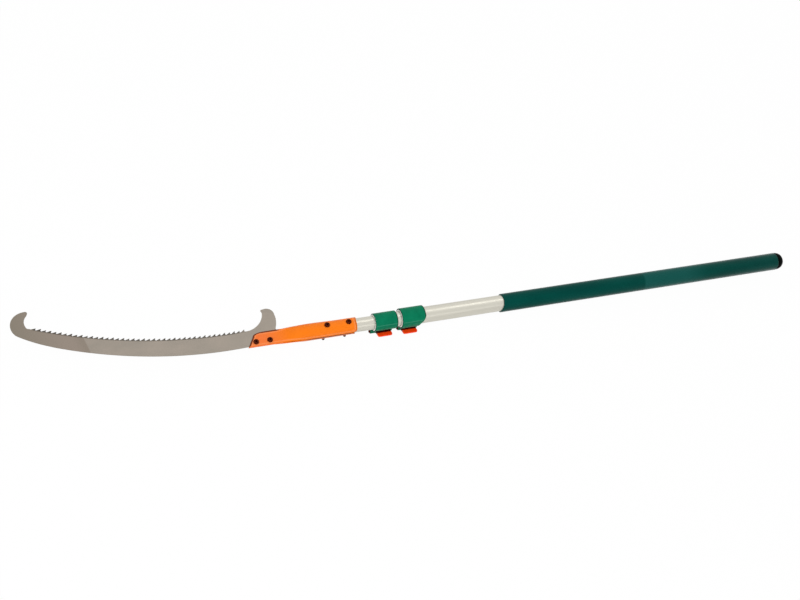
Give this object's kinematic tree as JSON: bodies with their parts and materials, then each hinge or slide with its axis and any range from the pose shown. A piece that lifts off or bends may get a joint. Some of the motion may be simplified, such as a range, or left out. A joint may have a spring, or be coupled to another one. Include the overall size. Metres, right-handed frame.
{
  "type": "telescopic pole saw",
  "caption": "Collapsed telescopic pole saw: curved pruning blade with a hook at each end, bolted in a pressed steel holder on nested aluminium tubes with lever clamps and a long grip.",
  "frame": {"origin": "centre of the small flat on the butt cap, on the pole's axis", "axes": "+X along the pole out of the butt, so the blade lies at -X; +Y from the pole's axis to the side that the teeth and hooks face, in the blade's plane; +Z square to the blade, towards the screw heads"},
  "size_m": [1.5194, 0.1514, 0.0474],
  "materials": {
    "blade_steel": "ground and oiled saw steel, dull warm grey",
    "orange_paint": "glossy orange powder coat",
    "red_plastic": "orange red moulded plastic",
    "green_plastic": "green moulded plastic, satin",
    "dark_green_grip": "dark green smooth vinyl sleeve",
    "black_rubber": "matt black",
    "satin_aluminium": "satin anodised, faintly warm",
    "grey_nylon": "grey moulded nylon",
    "natural_nylon": "off-white moulded nylon",
    "blackened_steel": "black oxide",
    "zinc_plate": "bright zinc plate"
  },
  "bodies": {
    "handle": {"outer_tube": "satin_aluminium", "grip_sleeve": "dark_green_grip", "end_cap": "black_rubber", "rear_clamp_body": "green_plastic", "rear_clamp_bushing": "natural_nylon", "rear_clamp_pin": "blackened_steel", "rear_clamp_screw": "blackened_steel"},
    "rear_lever": {"rear_clamp_lever": "red_plastic"},
    "rear_shoe": {"rear_clamp_shoe": "grey_nylon"},
    "middle_section": {"middle_tube": "satin_aluminium", "middle_guide_plug": "grey_nylon", "front_clamp_body": "green_plastic", "front_clamp_bushing": "natural_nylon", "front_clamp_pin": "blackened_steel", "front_clamp_screw": "blackened_steel"},
    "front_lever": {"front_clamp_lever": "red_plastic"},
    "front_shoe": {"front_clamp_shoe": "grey_nylon"},
    "saw_head": {"inner_tube": "satin_aluminium", "inner_guide_plug": "grey_nylon", "tube_core": "grey_nylon", "holder_near_shell": "orange_paint", "holder_far_shell": "orange_paint", "saw_blade": "blade_steel", "front_blade_screw": "blackened_steel", "rear_blade_screw": "blackened_steel", "front_blade_nut": "zinc_plate", "rear_blade_nut": "zinc_plate", "front_pole_screw": "blackened_steel", "rear_pole_screw": "blackened_steel", "front_pole_washer": "zinc_plate", "rear_pole_washer": "zinc_plate", "front_pole_nut": "zinc_plate", "rear_pole_nut": "zinc_plate"}
  },
  "joints": [
    {"name": "middle_section_slide", "type": "slide", "parent": "handle", "child": "middle_section", "axis": [-1, 0, 0], "range_m": [0, 0.63]},
    {"name": "saw_head_slide", "type": "slide", "parent": "middle_section", "child": "saw_head", "axis": [-1, 0, 0], "range_m": [0, 0.63]},
    {"name": "rear_lever_hinge", "type": "hinge", "parent": "handle", "child": "rear_lever", "pos_m": [-0.82265, -0.00418, -0.02373], "axis": [1, 0, 0], "range_deg": [0, 110]},
    {"name": "front_lever_hinge", "type": "hinge", "parent": "middle_section", "child": "front_lever", "pos_m": [-0.87275, -0.00373, -0.02117], "axis": [1, 0, 0], "range_deg": [0, 110]},
    {"name": "rear_shoe_slide", "type": "slide", "parent": "handle", "child": "rear_shoe", "axis": [0, -0.1736, -0.9848], "range_m": [0, 0.0008]},
    {"name": "front_shoe_slide", "type": "slide", "parent": "middle_section", "child": "front_shoe", "axis": [0, -0.1736, -0.9848], "range_m": [0, 0.0008]}
  ],
  "couplings": [
    {"joint": "rear_shoe_slide", "follows": "rear_lever_hinge", "m_per_rad": 0.000416},
    {"joint": "front_shoe_slide", "follows": "front_lever_hinge", "m_per_rad": 0.000416}
  ]
}
